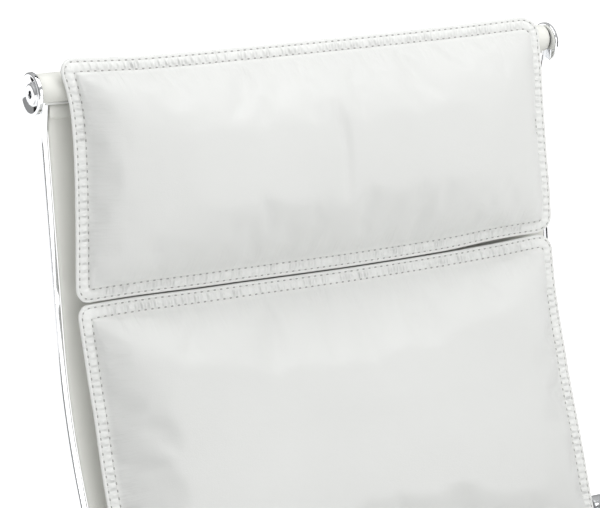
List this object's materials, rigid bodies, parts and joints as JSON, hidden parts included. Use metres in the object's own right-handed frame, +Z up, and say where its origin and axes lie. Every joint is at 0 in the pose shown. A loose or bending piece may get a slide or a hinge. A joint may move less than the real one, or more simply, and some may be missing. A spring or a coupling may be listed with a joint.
{
  "type": "drafting chair",
  "caption": "High-back padded drafting chair with armrests, foot ring, gas column, tilting seat and a star base on casters.",
  "frame": {"origin": "on the floor, on the swivel axis, at the centre of the bounding box", "axes": "+Z up; the sitter faces -Y; +X is the sitter's left"},
  "size_m": [0.7364, 0.7597, 1.306],
  "materials": {
    "pad_leather": "white smooth leather, soft sheen",
    "sling_leather": "white leather, slightly darker",
    "chrome": "polished chrome",
    "polished_aluminium": "polished cast aluminium",
    "steel": "plain machined steel",
    "black_metal": "satin black powder coat",
    "black_plastic": "moulded black nylon",
    "tyre": "dark grey caster wheel"
  },
  "bodies": {
    "seat_frame": {"rail_left": "chrome", "rail_right": "chrome", "top_cross_tube": "steel", "front_cross_tube": "steel", "top_end_cap_left": "chrome", "top_end_cap_right": "chrome", "front_end_cap_left": "chrome", "front_end_cap_right": "chrome", "sling": "sling_leather", "head_pad": "pad_leather", "upper_back_pad": "pad_leather", "lumbar_pad": "pad_leather", "seat_pad": "pad_leather", "back_spreader": "polished_aluminium", "seat_spreader_front": "polished_aluminium", "seat_spreader_rear": "polished_aluminium", "arm_left": "polished_aluminium", "arm_right": "polished_aluminium", "arm_pad_left": "pad_leather", "arm_pad_right": "pad_leather", "tilt_plate": "black_metal"},
    "base": {"base_star": "polished_aluminium", "column_tube": "chrome", "guide_bush": "black_plastic", "thrust_bearing": "steel", "caster_1_stem": "steel", "caster_2_stem": "steel", "caster_3_stem": "steel", "caster_4_stem": "steel", "caster_5_stem": "steel"},
    "piston": {"piston_rod": "steel", "retaining_clip": "steel"},
    "cylinder": {"pressure_tube": "black_metal", "tilt_housing": "black_metal", "tilt_axle": "steel", "tilt_spring": "steel"},
    "release_pin": {"release_pin": "steel"},
    "height_lever": {"height_lever": "chrome", "height_lever_grip": "black_plastic"},
    "tension_rod": {"tension_bolt": "steel"},
    "tension_knob": {"tension_knob": "black_plastic"},
    "foot_ring": {"foot_ring": "chrome", "foot_ring_sleeve": "black_plastic"},
    "foot_ring_clamp": {"foot_ring_knob": "black_plastic"},
    "caster_1": {"caster_1_hood": "black_plastic"},
    "caster_1_wheel_left": {"caster_1_wheel_left": "tyre"},
    "caster_1_wheel_right": {"caster_1_wheel_right": "tyre"},
    "caster_2": {"caster_2_hood": "black_plastic"},
    "caster_2_wheel_left": {"caster_2_wheel_left": "tyre"},
    "caster_2_wheel_right": {"caster_2_wheel_right": "tyre"},
    "caster_3": {"caster_3_hood": "black_plastic"},
    "caster_3_wheel_left": {"caster_3_wheel_left": "tyre"},
    "caster_3_wheel_right": {"caster_3_wheel_right": "tyre"},
    "caster_4": {"caster_4_hood": "black_plastic"},
    "caster_4_wheel_left": {"caster_4_wheel_left": "tyre"},
    "caster_4_wheel_right": {"caster_4_wheel_right": "tyre"},
    "caster_5": {"caster_5_hood": "black_plastic"},
    "caster_5_wheel_left": {"caster_5_wheel_left": "tyre"},
    "caster_5_wheel_right": {"caster_5_wheel_right": "tyre"}
  },
  "joints": [
    {"name": "swivel", "type": "hinge", "parent": "base", "child": "piston", "pos_m": [0, 0, 0.08], "axis": [0, 0, 1], "continuous": true},
    {"name": "seat_height", "type": "slide", "parent": "piston", "child": "cylinder", "axis": [0, 0, 1], "range_m": [0, 0.24]},
    {"name": "seat_tilt", "type": "hinge", "parent": "cylinder", "child": "seat_frame", "pos_m": [0, -0.075, 0.498], "axis": [-1, 0, 0], "range_deg": [0, 14], "stiffness_Nm_per_rad": 220, "springref_deg": -22.92},
    {"name": "tension_lift", "type": "slide", "parent": "cylinder", "child": "tension_rod", "axis": [0, 0, 1], "range_m": [0, 0.014], "deforming": ["tilt_spring"]},
    {"name": "tension_turn", "type": "hinge", "parent": "tension_rod", "child": "tension_knob", "pos_m": [0, -0.115, 0.406], "axis": [0, 0, 1], "range_deg": [0, 720]},
    {"name": "lever_lift", "type": "hinge", "parent": "cylinder", "child": "height_lever", "pos_m": [-0.0435, 0, 0.5105], "axis": [0, 1, 0], "range_deg": [0, 5], "stiffness_Nm_per_rad": 8, "springref_deg": -6.88},
    {"name": "pin_press", "type": "slide", "parent": "cylinder", "child": "release_pin", "axis": [0, 0, 1], "range_m": [-0.0045, 0]},
    {"name": "foot_ring_height", "type": "slide", "parent": "base", "child": "foot_ring", "axis": [0, 0, 1], "range_m": [-0.065, 0.12]},
    {"name": "clamp_turn", "type": "hinge", "parent": "foot_ring", "child": "foot_ring_clamp", "pos_m": [0, 0, 0.235], "axis": [-0.7071, -0.7071, 0], "range_deg": [0, 360]},
    {"name": "caster_1_swivel", "type": "hinge", "parent": "base", "child": "caster_1", "pos_m": [0, -0.331, 0.06], "axis": [0, 0, 1], "continuous": true},
    {"name": "caster_1_roll_left", "type": "hinge", "parent": "caster_1", "child": "caster_1_wheel_left", "pos_m": [0, -0.351, 0.02462], "axis": [1, 0, 0], "continuous": true},
    {"name": "caster_1_roll_right", "type": "hinge", "parent": "caster_1", "child": "caster_1_wheel_right", "pos_m": [0, -0.351, 0.02462], "axis": [1, 0, 0], "continuous": true},
    {"name": "caster_2_swivel", "type": "hinge", "parent": "base", "child": "caster_2", "pos_m": [0.3148, -0.10229, 0.06], "axis": [0, 0, 1], "continuous": true},
    {"name": "caster_2_roll_left", "type": "hinge", "parent": "caster_2", "child": "caster_2_wheel_left", "pos_m": [0.33382, -0.10847, 0.02462], "axis": [0.309, 0.9511, 0], "continuous": true},
    {"name": "caster_2_roll_right", "type": "hinge", "parent": "caster_2", "child": "caster_2_wheel_right", "pos_m": [0.33382, -0.10847, 0.02462], "axis": [0.309, 0.9511, 0], "continuous": true},
    {"name": "caster_3_swivel", "type": "hinge", "parent": "base", "child": "caster_3", "pos_m": [0.19456, 0.26778, 0.06], "axis": [0, 0, 1], "continuous": true},
    {"name": "caster_3_roll_left", "type": "hinge", "parent": "caster_3", "child": "caster_3_wheel_left", "pos_m": [0.20631, 0.28397, 0.02462], "axis": [-0.809, 0.5878, 0], "continuous": true},
    {"name": "caster_3_roll_right", "type": "hinge", "parent": "caster_3", "child": "caster_3_wheel_right", "pos_m": [0.20631, 0.28397, 0.02462], "axis": [-0.809, 0.5878, 0], "continuous": true},
    {"name": "caster_4_swivel", "type": "hinge", "parent": "base", "child": "caster_4", "pos_m": [-0.19456, 0.26778, 0.06], "axis": [0, 0, 1], "continuous": true},
    {"name": "caster_4_roll_left", "type": "hinge", "parent": "caster_4", "child": "caster_4_wheel_left", "pos_m": [-0.20631, 0.28397, 0.02462], "axis": [-0.809, -0.5878, 0], "continuous": true},
    {"name": "caster_4_roll_right", "type": "hinge", "parent": "caster_4", "child": "caster_4_wheel_right", "pos_m": [-0.20631, 0.28397, 0.02462], "axis": [-0.809, -0.5878, 0], "continuous": true},
    {"name": "caster_5_swivel", "type": "hinge", "parent": "base", "child": "caster_5", "pos_m": [-0.3148, -0.10229, 0.06], "axis": [0, 0, 1], "continuous": true},
    {"name": "caster_5_roll_left", "type": "hinge", "parent": "caster_5", "child": "caster_5_wheel_left", "pos_m": [-0.33382, -0.10847, 0.02462], "axis": [0.309, -0.9511, 0], "continuous": true},
    {"name": "caster_5_roll_right", "type": "hinge", "parent": "caster_5", "child": "caster_5_wheel_right", "pos_m": [-0.33382, -0.10847, 0.02462], "axis": [0.309, -0.9511, 0], "continuous": true}
  ],
  "couplings": [
    {"joint": "tension_lift", "follows": "seat_tilt", "m_per_rad": 0.055},
    {"joint": "pin_press", "follows": "lever_lift", "m_per_rad": -0.047}
  ]
}
